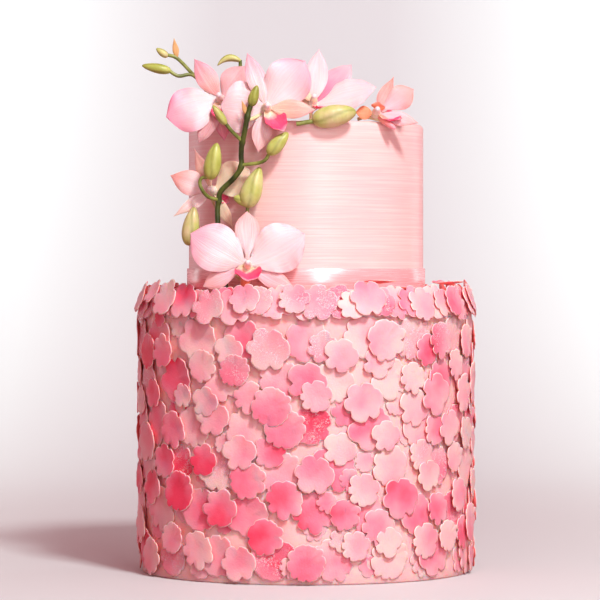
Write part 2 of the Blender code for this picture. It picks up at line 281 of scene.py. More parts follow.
def large_blossoms():
    """Centre, outward direction, spin and radius of each large blossom, as the solid has them."""
    draw = random.Random(blossom_seed)
    sites = []
    for row in range(side_rows + 1):
        on_edge = row == side_rows
        for place in range(blossoms_around):
            around = 2 * math.pi * (place + 0.5 * (row % 2) + draw.uniform(-0.10, 0.10)) / blossoms_around
            lift = draw.uniform(-2.2, 2.2) * MM
            spin = draw.uniform(0, 2 * math.pi)
            radius = draw.uniform(*blossom_radius)
            lean = 0.4 * draw.uniform(-0.11, 0.11)
            swing = 0.4 * draw.uniform(-0.11, 0.11)
            if on_edge:
                lean = edge_tilt + lean
                reach = edge_circle
                height = edge_height
                radius *= edge_shrink
            else:
                reach = lower_radius
                height = max(side_first + side_pitch * row + lift, radius + 0.9 * MM)
            outward = Vector((math.cos(lean) * math.cos(around + swing),
                              math.cos(lean) * math.sin(around + swing), math.sin(lean)))
            sites.append((Vector((reach * math.cos(around), reach * math.sin(around), height)),
                          outward, spin, radius))
    for place in range(ledge_around):
        around = 2 * math.pi * (place + draw.uniform(-0.08, 0.08)) / ledge_around
        spin = draw.uniform(0, 2 * math.pi)
        radius = draw.uniform(*ledge_radius)
        centre = Vector((ledge_circle * math.cos(around), ledge_circle * math.sin(around), ledge_height))
        if not under_orchid(centre):
            sites.append((centre, Vector((0, 0, 1)), spin, radius))
    return sites


def under_orchid(centre):
    """Where the lowest orchid and the stem's foot stand on the ledge."""
    return centre.y < -45 * MM and -92 * MM < centre.x < 20 * MM


def up_right(centre):
    """The way along the icing, up and to the right, that every blossom's tucked rim points."""
    around = math.atan2(centre.y, centre.x)
    if centre.z < ledge_height - 0.1 * MM:
        return Vector((-math.sin(around), math.cos(around), 1)).normalized()
    return Vector((-math.sin(around) - math.cos(around), math.cos(around) - math.sin(around), 0)).normalized()


def set_down(centre, outward, spin, size):
    """The place that lays a blossom down with its proud side to the lower left."""
    tilted = (outward + proud * up_right(centre)).normalized()
    across = up_right(centre).cross(tilted).normalized()
    axes = Matrix((across.cross(tilted) * -1, across * -1, tilted)).transposed()
    turn = axes.to_quaternion() @ Euler((0, 0, 0.25 * (spin / math.pi - 1))).to_quaternion()
    return Matrix.LocRotScale(centre + outward * standing, turn, Vector((size, size, size)))


def onward(site):
    """How far up and to the right a blossom lies, counted from the back."""
    around = math.remainder(math.atan2(site[0].y, site[0].x) + math.pi / 2, 2 * math.pi)
    return lower_radius * around + site[0].z


def top_at(outline, x, y):
    """Height of a cut blossom's top at a place in its own plane, or None beside it."""
    turn = math.atan2(y, x) % (2 * math.pi)
    after = bisect.bisect(outline, turn, key=lambda rim: rim[0]) % len(outline)
    start, before_reach, before_rise = outline[after - 1]
    end, after_reach, after_rise = outline[after]
    share = ((turn - start) % (2 * math.pi)) / ((end - start) % (2 * math.pi) or 1)
    reach = before_reach + (after_reach - before_reach) * share
    rise = before_rise + (after_rise - before_rise) * share
    inward = math.hypot(x, y) / reach
    return top_rise + (rise - top_rise + rim_drop) * inward ** 2 if inward < 0.97 else None


def lay_down(centre, outward, spin, radius, shape, most, laid):
    """Lay a blossom over those to its lower left and under the others, or else over all that it meets."""
    size = radius / blossom_size
    place = set_down(centre, outward, spin, size)
    back = place.inverted()
    own = outlines[shape]
    rim = [place @ Vector((reach * math.cos(turn), reach * math.sin(turn), rise))
           for turn, reach, rise in own]
    least, limit, on_top = -deepest, most, -deepest
    for near in laid:
        apart = centre - near.centre
        if apart.length > radius + near.radius:
            continue
        over = []
        for points, plane, outline, scale in ((near.rim, back, own, size),
                                              (rim, near.back, near.outline, near.size)):
            for point in points:
                at = plane @ point
                top = top_at(outline, at.x, at.y)
                if top is not None:
                    over.append(((at.z - top) * scale, outline is own))
        if not over:
            continue
        rise = max(gap + clear if on_own else rim_room - gap for gap, on_own in over)
        on_top = max(on_top, rise)
        if apart.dot(up_right(centre)) > 0:
            least = max(least, rise)
        else:
            limit = min(limit, min(gap - rim_room if on_own else -gap - clear for gap, on_own in over))
    if least > limit:
        if on_top > most:
            return
        least = limit = on_top
    shift = Matrix.Translation(outward * min(max(least, 0.0), limit))
    place = shift @ place
    laid.append(Laid(centre, radius, size, place.inverted(), own, [shift @ point for point in rim], place,
                     shape))


def fill_in(laid):
    """The fill: rings that stand up over the top edge, smaller ones on the side, then the ledge's rings."""
    draw = random.Random(blossom_seed + 1)

    def add(around, up, out, lean, share, low, high, most):
        """One throw. It comes off where it would cover too much of a neighbour."""
        centre = Vector((out * math.cos(around), out * math.sin(around), up))
        room = min((centre - near.centre).length / share - near.radius for near in laid)
        radius = min(room, draw.uniform(low, high) * MM, (up - 0.3 * MM) / 1.07)
        if radius > low * MM and not (lean > 1 and under_orchid(centre)):
            outward = Vector((math.cos(lean) * math.cos(around), math.cos(lean) * math.sin(around),
                              math.sin(lean)))
            spin = draw.uniform(0, 2 * math.pi)
            lay_down(centre, outward, spin, radius, draw.choice(small_cuts), most, laid)

    edge_rings = ((104.5, 6.0, 0.30, 0.36, 9.0, 13.0, 3000, 3.2),
                  (101.5, 1.5, 0.60, 0.40, 9.0, 12.0, 1500, 4.0))
    for out, drop, lean, share, low, high, throws, most in edge_rings:
        for _ in range(throws):
            add(draw.uniform(0, 2 * math.pi),
                ledge_height - (drop + draw.uniform(-2.0, 4.0) * (lean < 0.5)) * MM,
                out * MM, lean + draw.uniform(-0.06, 0.06), share, low, high, most * MM)
    side_fills = ((0.44, 10.0, 14.5, 3500, 2.6), (0.46, 8.5, 12.0, 4000, 2.4), (0.52, 6.5, 9.0, 4000, 1.5))
    for share, low, high, throws, most in side_fills:
        for _ in range(throws):
            around = draw.uniform(0, 2 * math.pi)
            up = (low + (ledge_height / MM - 6 - low) * draw.random()) * MM
            add(around, up, lower_radius, draw.uniform(-0.02, 0.02), share, low, high, most * MM)
    ledge_rings = ((94.0, -0.3, 1.35, 0.62, 8.0, 11.0, 500), (84.0, -0.3, 1.50, 0.62, 7.5, 10.0, 500))
    for out, drop, lean, share, low, high, throws in ledge_rings:
        for _ in range(throws):
            add(draw.uniform(0, 2 * math.pi), ledge_height - drop * MM, out * MM,
                lean + draw.uniform(-0.08, 0.08), share, low, high, 3.2 * MM)


cutters = bpy.data.collections.new("cut_blossoms")
cuts = ((7, 0.24, 2.2), (8, 0.20, 1.8), (6, 0.26, 2.5), (9, 0.18, 2.0), (7, 0.22, 2.7), (8, 0.22, 1.6),
        (10, 0.17, 2.1), (7, 0.25, 1.5), (5, 0.28, 2.0), (6, 0.26, 2.2), (7, 0.22, 1.7), (5, 0.30, 2.4),
        (6, 0.24, 1.9), (8, 0.20, 2.0))
for index, (lobes, notch, lift) in enumerate(cuts):
    cutters.objects.link(cut_out(f"cut_{index:02}", lobes, notch, lift * MM, index + 3))

large_cuts = range(8)
small_cuts = range(6, 14)
pick = random.Random(blossom_seed + 2)
no_limit = 1.0
all_laid = []
for centre, outward, spin, radius in sorted(large_blossoms(), key=onward):
    lay_down(centre, outward, spin, radius, pick.choice(large_cuts), no_limit, all_laid)
fill_in(all_laid)
places = bpy.data.meshes.new("blossom_places")
places.from_pydata([blossom.place.to_translation() for blossom in all_laid], [], [])
turns = [part for blossom in all_laid for part in blossom.place.to_euler()]
places.attributes.new("turn", "FLOAT_VECTOR", "POINT").data.foreach_set("vector", turns)
# Each blossom's dye is a random depth of pink, plus painted shade: blossoms towards the cake's left, the side
# away from the key lamp, are painted a deeper pink.
dyes_and_left_shade = [0.72 * pick.random() + 0.26 * max(0.0, min(1.0, 0.5 - blossom.centre.x / (1.6 * lower_radius)))
        for blossom in all_laid]
for label, kind, values in (("size", "FLOAT", [blossom.size for blossom in all_laid]),
                            ("shape", "INT", [blossom.shape for blossom in all_laid]),
                            ("dye", "FLOAT", dyes_and_left_shade)):
    places.attributes.new(label, kind, "POINT").data.foreach_set("value", values)


def worked(tree, operation, *values):
    """Arithmetic on numbers or sockets."""
    return node(tree, "ShaderNodeMath", dict(enumerate(values)), operation=operation).outputs[0]


def blend_of(tree, name):
    """A number that the mesh carries."""
    return node(tree, "ShaderNodeAttribute", attribute_name=name).outputs["Fac"]


sugar, tree, shader = new_finish("sugar_blossom", 0.55, subsurface_weight=0.5, subsurface_scale=0.003)
reach = blend_of(tree, "reach")
sparkle = blend_of(tree, "sparkle")
mottle = spread(tree, object_noise(tree, 60, 2), 0.3, 0.7, -0.16, 0.16)
paler = spread(tree, reach, 0.2, 0.9, 0.0, 0.12)
across = spread(tree, blend_of(tree, "aside"), -0.9, 0.9, -0.17, 0.17)
# The tint carries each blossom's dye and the painted shade on the cake's left; rims are paler.
depth = worked(tree, "SUBTRACT", blend_of(tree, "tint"), paler)
depth = worked(tree, "ADD", worked(tree, "ADD", depth, mottle), across)
colour = ramp(tree, depth, [(0.0, (0.95, 0.62, 0.60)), (0.20, (0.95, 0.53, 0.56)), (0.45, (0.95, 0.38, 0.46)),
                            (0.70, (0.94, 0.21, 0.32)), (0.95, (0.92, 0.06, 0.14))])
# Paler rim: partly the sugar-dusted cut edge, partly a painted highlight of that edge catching the light.
colour = mixed(tree, spread(tree, reach, 0.94, 1.0, 0, 0.8), colour, (0.96, 0.84, 0.82))
# Painted shadow: the rim's underside and root are painted dark red, for the red shade under each proud rim.
colour = mixed(tree, spread(tree, reach, 1.03, 1.15, 0, 1), colour, (0.80, 0.16, 0.16))
grains = node(tree, "ShaderNodeTexVoronoi",
              {"Vector": node(tree, "ShaderNodeTexCoord").outputs["Object"], "Scale": 2200.0})
bright = spread(tree, grains.outputs["Color"], 0.60, 0.75, 0, 0.8)
patches = spread(tree, object_noise(tree, 120, 2), 0.42, 0.6, 0, 1)
bright = worked(tree, "MULTIPLY", worked(tree, "MULTIPLY", bright, sparkle), patches)
colour = mixed(tree, bright, colour, (0.96, 0.80, 0.84))
tree.links.new(colour, shader.inputs["Base Color"])
tree.links.new(spread(tree, bright, 0, 1, 0.55, 0.22), shader.inputs["Roughness"])
grainy = worked(tree, "MULTIPLY", spread(tree, grains.outputs["Distance"], 0, 0.6, 1, 0), sparkle)
raised(tree, shader, worked(tree, "ADD", grainy, object_noise(tree, 700, 3)), 0.2 * MM)

scatter = bpy.data.node_groups.new("Set out sugar blossoms", "GeometryNodeTree")
for label, kind in (("Geometry", "Geometry"), ("Cut blossoms", "Collection"), ("Paste", "Material"),
                    ("Sparkling share", "Float"), ("Seed", "Int")):
    scatter.interface.new_socket(label, in_out="INPUT", socket_type="NodeSocket" + kind)
scatter.interface.new_socket("Geometry", in_out="OUTPUT", socket_type="NodeSocketGeometry")
given = node(scatter, "NodeGroupInput")
shapes = node(scatter, "GeometryNodeCollectionInfo", {"Collection": given.outputs["Cut blossoms"],
                                                     "Separate Children": True, "Reset Children": True})
turn = node(scatter, "GeometryNodeInputNamedAttribute", {"Name": "turn"}, data_type="FLOAT_VECTOR")
size = node(scatter, "GeometryNodeInputNamedAttribute", {"Name": "size"}, data_type="FLOAT")
facing = node(scatter, "FunctionNodeEulerToRotation", {"Euler": turn.outputs["Attribute"]})
shape = node(scatter, "GeometryNodeInputNamedAttribute", {"Name": "shape"}, data_type="INT")
stuck_on = node(scatter, "GeometryNodeInstanceOnPoints",
                {"Points": given.outputs["Geometry"], "Instance": shapes.outputs["Instances"],
                 "Pick Instance": True, "Instance Index": shape.outputs["Attribute"],
                 "Rotation": facing.outputs["Rotation"], "Scale": size.outputs["Attribute"]})
# The dye number: random dye plus painted shade on the cake's left side.
dye = node(scatter, "GeometryNodeInputNamedAttribute", {"Name": "dye"}, data_type="FLOAT")
tinted = node(scatter, "GeometryNodeStoreNamedAttribute",
              {"Geometry": stuck_on.outputs["Instances"], "Name": "tint", "Value": dye.outputs["Attribute"]},
              data_type="FLOAT", domain="INSTANCE")
lot = node(scatter, "FunctionNodeRandomValue", {2: 0.0, 3: 1.0, "Seed": given.outputs["Seed"]},
           data_type="FLOAT")
sugared = node(scatter, "FunctionNodeCompare", {0: lot.outputs[1], 1: given.outputs["Sparkling share"]},
               operation="LESS_THAN")
dusted = node(scatter, "GeometryNodeStoreNamedAttribute",
              {"Geometry": tinted.outputs["Geometry"], "Name": "sparkle", "Value": sugared.outputs[0]},
              data_type="FLOAT", domain="INSTANCE")
real = node(scatter, "GeometryNodeRealizeInstances", {"Geometry": dusted.outputs["Geometry"]})
done = node(scatter, "GeometryNodeSetMaterial", {"Geometry": real.outputs["Geometry"],
                                                 "Material": given.outputs["Paste"]})
node(scatter, "NodeGroupOutput", {"Geometry": done.outputs["Geometry"]})

blossoms = new_piece("sugar_blossoms", places, sugar)
laying = blossoms.modifiers.new("Set out", "NODES")
laying.node_group = scatter
for item in scatter.interface.items_tree:
    if item.in_out == "INPUT" and item.name != "Geometry":
        laying[item.identifier] = {"Cut blossoms": cutters, "Paste": sugar, "Sparkling share": 0.2,
                                   "Seed": blossom_seed}[item.name]
applied(blossoms)
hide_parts("lower_tier")
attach(blossoms, "root")

# Upper tier
# A lower round sponge under rolled icing, brushed round and round with pearl lustre while it turned.
# It stands on the lower tier, and its edge is softly rounded.

upper_radius = upper_high.x
pearl, tree, shader = new_finish("pearl_icing", 0.36, coat_weight=0.2, coat_roughness=0.32,
                                 subsurface_weight=0.08, subsurface_scale=0.003)
brushed = object_noise(tree, 14, 5, stretch=(1, 1, 62), roughness=0.62)
cloud = object_noise(tree, 22, 2)
colour = mixed(tree, spread(tree, cloud, 0.35, 0.65, 0, 1), (0.89, 0.60, 0.575), (0.89, 0.555, 0.555))
colour = mixed(tree, spread(tree, brushed, 0.42, 0.68, 0, 0.55), colour, (0.96, 0.80, 0.76))
tree.links.new(colour, shader.inputs["Base Color"])
tree.links.new(spread(tree, brushed, 0.35, 0.65, 0.44, 0.30), shader.inputs["Roughness"])
raised(tree, shader, brushed, 0.22 * MM)

pearl_edge = 3.2 * MM
upper_outline = tier_profile(upper_radius, upper_low.z, upper_high.z, pearl_edge)
upper_tier = turned("upper_tier_icing", upper_outline, pearl)
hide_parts("upper_tier")
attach(upper_tier, "root")

# Ribbon
# A satin ribbon laid round the foot of the upper tier, its ends lapped and glued at the back.

ribbon_low, ribbon_high = (Vector(corner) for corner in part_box("ribbon"))
satin, tree, shader = new_finish("satin_ribbon", 0.24, sheen_weight=0.2)
shader.inputs["IOR"].default_value = 2.5
weave = object_noise(tree, 60, 3, stretch=(1, 1, 40))
colour = mixed(tree, spread(tree, weave, 0.4, 0.65, 0, 1), (0.92, 0.40, 0.42), (0.93, 0.46, 0.48))
tree.links.new(colour, shader.inputs["Base Color"])
tree.links.new(spread(tree, weave, 0.35, 0.65, 0.20, 0.30), shader.inputs["Roughness"])
raised(tree, shader, weave, 0.04 * MM)
inside = upper_radius + 0.3 * MM
outside = ribbon_high.x
soft_edge = 0.2 * MM
ribbon = turned("ribbon_band", [(inside, ribbon_high.z), (outside - soft_edge, ribbon_high.z),
                                (outside, ribbon_high.z - soft_edge), (outside, ribbon_low.z + soft_edge),
                                (outside - soft_edge, ribbon_low.z), (inside, ribbon_low.z),
                                (inside, ribbon_high.z)], satin)
lap_arc = math.radians(10)
lap_lift = 0.35 * MM
lap_root = 0.3 * MM
lap_steps = 10
lap_rings = []
for step in range(lap_steps + 1):
    turn = math.pi / 2 + lap_arc * step / lap_steps
    lift = lap_lift * min(1.0, 0.2 + step / 4)
    lap_rings += [(reach * math.cos(turn), reach * math.sin(turn), height)
                  for reach, height in ((outside - lap_root, ribbon_low.z), (outside + lift, ribbon_low.z),
                                        (outside + lift, ribbon_high.z), (outside - lap_root, ribbon_high.z))]
lap_faces = [(4 * step + side, 4 * step + (side + 1) % 4, 4 * step + 4 + (side + 1) % 4, 4 * step + 4 + side)
             for step in range(lap_steps) for side in range(4)]
lap_faces += [(3, 2, 1, 0), tuple(4 * lap_steps + side for side in range(4))]
lap_mesh = bpy.data.meshes.new("ribbon_end")
lap_mesh.from_pydata(lap_rings, [], [face[::-1] for face in lap_faces])
ribbon_end = new_piece("ribbon_end", lap_mesh, satin)
for piece in (ribbon, ribbon_end):
    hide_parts("ribbon")
    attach(piece, "root")

# Orchids
# Fresh orchids of six different ages and colours, wired and set against the icing. Each has two broad
# petals, three narrower sepals, a lip, a cream column and a spur, all thin living tissue with fine veins.

petal_start = 2.7 * MM
heart_radius = 3.6 * MM
column_length = 8.0 * MM
column_radius = 2.4 * MM
stalk_radius = 1.15 * MM
claw = 0.20
tip_round = 0.04
petal_sheet = 0.8 * MM
round_leaf = (0.56, 0.62)
oval_leaf = (0.50, 0.85)
spoon_leaf = (0.66, 0.75)
lance_leaf = (0.44, 1.10)

petal_white = (0.88, 0.70, 0.72)
shell_pink = (0.89, 0.58, 0.64)
rose = (0.88, 0.38, 0.50)
deep_rose = (0.82, 0.24, 0.38)
salmon = (0.90, 0.48, 0.46)
coral = (0.90, 0.30, 0.24)
orange = (0.88, 0.30, 0.15)
peach = (0.88, 0.62, 0.48)
cream = (0.84, 0.70, 0.50)
# Mauve is the stalks' own colour, and painted shade on the top left flower's shaded petal and sepals.
mauve_and_painted_shade = (0.70, 0.42, 0.44)
green_cream = (0.70, 0.64, 0.36)


def mm(x, y, z):
    """A point given in millimetres."""
    return Vector((x, y, z)) * MM


def tint_of(tree, name):
    """A colour that the mesh carries."""
    return node(tree, "ShaderNodeAttribute", attribute_name=name).outputs["Color"]


def veins(tree, fine):
    """Fine lines that run along a petal and fan out with it."""
    across = worked(tree, "MULTIPLY", blend_of(tree, "side"), fine)
    onward = worked(tree, "MULTIPLY", blend_of(tree, "along"), 2.2)
    place = node(tree, "ShaderNodeCombineXYZ", {0: onward, 1: across, 2: blend_of(tree, "lot")})
    return node(tree, "ShaderNodeTexNoise", {"Vector": place.outputs[0], "Scale": 1.0, "Detail": 3.0,
                                             "Roughness": 0.55}).outputs["Fac"]


petal_skin, tree, shader = new_finish("orchid_petal", 0.42, subsurface_weight=0.25, subsurface_scale=0.003,
                                      sheen_weight=0.15)
rim = worked(tree, "POWER", worked(tree, "ABSOLUTE", blend_of(tree, "side")), 2.5)
outer = worked(tree, "ADD", blend_of(tree, "along"), worked(tree, "MULTIPLY", rim, 0.22))
cloud = worked(tree, "MULTIPLY", worked(tree, "SUBTRACT", object_noise(tree, 90, 3), 0.5), 0.5)
outer = spread(tree, worked(tree, "ADD", outer, cloud), 0.40, 1.10, 0, 1)
colour = mixed(tree, outer, tint_of(tree, "inner"), tint_of(tree, "outer"))
lines = spread(tree, veins(tree, 13.0), 0.42, 0.68, 0, 0.38)
lines = worked(tree, "MULTIPLY", lines, blend_of(tree, "veined"))
colour = mixed(tree, lines, colour, (0.80, 0.30, 0.32), "MULTIPLY")
tree.links.new(colour, shader.inputs["Base Color"])
tree.links.new(spread(tree, veins(tree, 20.0), 0.3, 0.7, 0.36, 0.52), shader.inputs["Roughness"])
raised(tree, shader, veins(tree, 17.0), 0.25 * MM)

lip_skin, tree, shader = new_finish("orchid_lip", 0.35, subsurface_weight=0.2, subsurface_scale=0.002)
shade = worked(tree, "ADD", blend_of(tree, "along"),
               worked(tree, "MULTIPLY", worked(tree, "SUBTRACT", object_noise(tree, 220, 2), 0.5), 0.3))
colour = ramp(tree, shade, [(0.0, (0.62, 0.55, 0.25)), (0.28, (0.86, 0.66, 0.50)), (0.42, (0.88, 0.10, 0.20)),
                            (0.80, (0.86, 0.06, 0.18)), (1.0, (0.90, 0.42, 0.50))])
tree.links.new(colour, shader.inputs["Base Color"])
tree.links.new(spread(tree, veins(tree, 12.0), 0.3, 0.7, 0.28, 0.45), shader.inputs["Roughness"])
raised(tree, shader, veins(tree, 12.0), 0.3 * MM)

column_skin, tree, shader = new_finish("orchid_column", 0.38, subsurface_weight=0.2, subsurface_scale=0.002)
colour = mixed(tree, spread(tree, object_noise(tree, 160, 2), 0.35, 0.65, 0, 1), tint_of(tree, "inner"),
               tint_of(tree, "outer"))
tree.links.new(colour, shader.inputs["Base Color"])
tree.links.new(spread(tree, object_noise(tree, 500, 2), 0.3, 0.7, 0.3, 0.48), shader.inputs["Roughness"])
raised(tree, shader, object_noise(tree, 600, 3), 0.15 * MM)


def half_width(along, outline):
    """Half width of a petal, 0 to 1, at a share of its length: a claw at the base, a round tip."""
    widest, pointed = outline
    swell = max(math.sin(math.pi * along ** (math.log(0.5) / math.log(widest))), 0.0) ** pointed
    return max(swell, claw if along < 0.5 else 0.03)


def tinted(bm, lot, inner, outer, veined):
    """Give every point its place number and its two colours."""
    lot_of = bm.verts.layers.float["lot"]
    veined_of = bm.verts.layers.float["veined"]
    inner_of = bm.verts.layers.float_color["inner"]
    outer_of = bm.verts.layers.float_color["outer"]
    for point in bm.verts:
        point[lot_of] = lot
        point[veined_of] = veined
        point[inner_of] = (*inner, 1)
        point[outer_of] = (*outer, 1)


def fresh_mesh():
    """An empty shape with the numbers that the flower finishes read."""
    bm = bmesh.new()
    for name in ("along", "side", "lot", "veined"):
        bm.verts.layers.float.new(name)
    for name in ("inner", "outer"):
        bm.verts.layers.float_color.new(name)
    return bm


def blade(base, tip, width, face, outline, finish, lot, inner, outer, veined=0.5, bow=0.05, cup=-0.05,
          ruffle=0.02):
    """A petal, sepal or lip: a thin wavy sheet, creased down its middle and thinner at its rim."""
    draw = random.Random(lot)
    phase = draw.uniform(0, 2 * math.pi)
    fold = draw.uniform(0.5, 1.5)
    along = (tip - base).normalized()
    length = (tip - base).length
    across = along.cross(face).normalized()
    out = across.cross(along)
    bm = fresh_mesh()
    along_of = bm.verts.layers.float["along"]
    side_of = bm.verts.layers.float["side"]
    bmesh.ops.create_grid(bm, x_segments=26, y_segments=16, size=0.5)
    inside = []
    for point in bm.verts:
        u = 0.5 - 0.5 * math.cos(math.pi * (point.co.x + 0.5))
        side = math.sin(math.pi * point.co.y)
        reach = length * (u + tip_round * (1 - side * side) * (2 * u - 1))
        swing = 0.5 * width * half_width(u, outline) * side
        lift = bow * length * 4 * u * (1 - u) + cup * width * side * side * math.sin(math.pi * u)
        lift += 0.04 * width * side * math.sin(3 * math.pi * u)
        lift += ruffle * width * side ** 4 * math.sin(7 * math.pi * u * fold + phase + 2 * side)
        lift -= 0.02 * width * math.exp(-(side / 0.16) ** 2) * math.sin(math.pi * u)
        point[along_of] = u
        point[side_of] = side
        inside.append(min(1.0, 3.0 * (1 - abs(side))) * min(1.0, 4.0 * (1 - u)))
        point.co = base + along * reach + across * swing + out * lift
    tinted(bm, lot * 1.7, inner, outer, veined)
    mesh = bpy.data.meshes.new("blade")
    bm.to_mesh(mesh)
    bm.free()
    piece = new_piece("blade", mesh, finish)
    thick = piece.vertex_groups.new(name="thick")
    for index, share in enumerate(inside):
        thick.add([index], share, "REPLACE")
    shell = piece.modifiers.new("Solidify", "SOLIDIFY")
    shell.thickness = petal_sheet
    shell.offset = 0
    shell.vertex_group = "thick"
    shell.thickness_vertex_group = 0.35
    applied(piece)
    piece.vertex_groups.clear()
    piece.data.shade_smooth()
    return piece


def body(base, tip, radius, finish, lot, inner, outer, taper=0.0, bend=Vector(), grooves=0, depth=0.0,
         veined=0.5):
    """A rounded body from base to tip, such as a bud, a column or a spur, with lengthwise grooves."""
    bm = fresh_mesh()
    along_of = bm.verts.layers.float["along"]
    side_of = bm.verts.layers.float["side"]
    bmesh.ops.create_uvsphere(bm, u_segments=30, v_segments=20, radius=1.0)
    half = 0.5 * (tip - base)
    turn = half.to_track_quat("Z", "Y").to_matrix()
    for point in bm.verts:
        around = math.atan2(point.co.y, point.co.x) + 0.5 * point.co.z
        groove = abs(math.cos(0.5 * grooves * around)) if grooves else 1.0
        sunk = 1 - depth * (1 - groove) ** 3
        thin = radius * (1 - taper * point.co.z) * sunk
        flat = turn @ Vector((point.co.x * thin, point.co.y * thin, 0))
        point[along_of] = 0.5 + 0.5 * point.co.z
        point[side_of] = (1 - groove) ** 3
        point.co = base + half * (1 + point.co.z) + flat + bend * (1 - point.co.z ** 2)
    tinted(bm, lot * 1.7, inner, outer, veined)
    mesh = bpy.data.meshes.new("body")
    bm.to_mesh(mesh)
    bm.free()
    mesh.shade_smooth()
    return new_piece("body", mesh, finish)


def smooth_path(points, steps=6):
    """Points on an even curve through the given ones."""
    ends = [points[0] * 2 - points[1], *points, points[-1] * 2 - points[-2]]
    path = []
    for index in range(1, len(ends) - 2):
        before, start, end, after = ends[index - 1:index + 3]
        for step in range(steps):
            t = step / steps
            path.append(0.5 * (2 * start + (end - before) * t
                               + (2 * before - 5 * start + 4 * end - after) * t ** 2
                               + (3 * start - before - 3 * end + after) * t ** 3))
    return path + [points[-1]]


def cane(points, radius, finish, lot, inner, outer, knots=()):
    """A stalk or stem through a list of points, closed at both ends and swollen at its knots."""
    path = bpy.data.curves.new("cane", "CURVE")
    path.dimensions = "3D"
    path.bevel_depth = radius
    path.bevel_resolution = 4
    path.use_fill_caps = True
    spline = path.splines.new("POLY")
    places = smooth_path([mm(*point) for point in points])
    spline.points.add(len(places) - 1)
    for at, place in zip(spline.points, places):
        at.co = (*place, 1)
        near = min(((place - mm(*knot)).length for knot in knots), default=1.0)
        at.radius = 1 + 0.28 * math.exp(-(near / (1.6 * MM)) ** 2)
    piece = bpy.data.objects.new("cane", path)
    bpy.context.scene.collection.objects.link(piece)
    bpy.context.view_layer.update()
    mesh = bpy.data.meshes.new_from_object(piece.evaluated_get(bpy.context.evaluated_depsgraph_get()))
    bpy.data.objects.remove(piece, do_unlink=True)
    bm = fresh_mesh()
    bm.from_mesh(mesh)
    bmesh.ops.remove_doubles(bm, verts=bm.verts, dist=0.02 * MM)
    tinted(bm, lot * 1.7, inner, outer, 0.5)
    bm.to_mesh(mesh)
    bm.free()
    mesh.shade_smooth()
    mesh.set_sharp_from_angle(angle=math.radians(60))
    return new_piece("cane", mesh, finish)


def gathered(name, parts, stands_for):
    """Join parts to one piece that takes the place of a solid."""
    with bpy.context.temp_override(active_object=parts[0], selected_editable_objects=parts):
        bpy.ops.object.join()
    piece = parts[0]
    piece.name = name
    piece.data.name = name
    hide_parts(stands_for)
    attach(piece, "root")
    return piece


def orchid(stands_for, centre, face, petals, sepals, lip, chin, stalk, spur=(salmon, rose)):
    """One flower. Blades are offsets from its centre, with width, outline and inner and outer colours."""
    centre = mm(*centre)
    face = Vector(face).normalized()
    lot = sum(ord(letter) for letter in stands_for) % 89
    parts = [body(centre - face * heart_radius, centre + face * heart_radius, heart_radius * 0.94, petal_skin,
                  lot, petal_white, green_cream)]
    for veined, blades in ((0.35, petals), (1.0, sepals)):
        for x, y, z, width, outline, inner, outer in blades:
            lot += 1
            tip = mm(x, y, z)
            base = centre + tip.normalized() * petal_start
            parts.append(blade(base, centre + tip, width * MM, face, outline, petal_skin, lot, inner, outer,
                               veined))
    x, y, z, width = lip
    hood = face + Vector((0, 0, 0.8))
    parts.append(blade(centre + face * 0.5 * MM, centre + mm(x, y, z), width * MM, hood, round_leaf, lip_skin,
                       lot + 1, cream, rose, bow=-0.12, cup=0.30, ruffle=0.05))
    head = centre + face * column_length + mm(0, 0, 1.5)
    parts.append(body(centre, head, column_radius, column_skin, lot + 2, petal_white, cream, taper=0.2))
    parts.append(body(head - face * 2.6 * MM, head + face * 0.5 * MM, 1.7 * MM, column_skin, lot + 3,
                      petal_white, petal_white))
    x, y, z, radius = chin
    parts.append(body(centre, centre + mm(x, y, z), radius * MM, petal_skin, lot + 4, *spur))
    start = tuple((centre + mm(x, y, z) * 0.5) / MM)
    parts.append(cane([start, *stalk], stalk_radius, petal_skin, lot + 5, green_cream, mauve_and_painted_shade))
    return gathered(stands_for.replace("orchid", "bloom"), parts, stands_for)


orchid("orchid_low_front", (-36.8, -84, 197.4), (0.05, -1, 0.1),
       petals=[(-34.2, -1, 19.6, 31, round_leaf, petal_white, rose),
               (34.7, -1, 19.4, 32, round_leaf, petal_white, shell_pink)],
       sepals=[(-0.2, 4, 33.2, 15.5, spoon_leaf, petal_white, salmon),
               (-26.8, 2, -12.5, 11.5, spoon_leaf, shell_pink, salmon),
               (29.1, 2, -14.6, 12, oval_leaf, shell_pink, salmon)],
       lip=(1, -9, -9, 17), chin=(-2, 3, -16.4, 3.2), stalk=[(-41, -76, 189), (-51, -72.5, 196)],
       spur=(orange, coral))
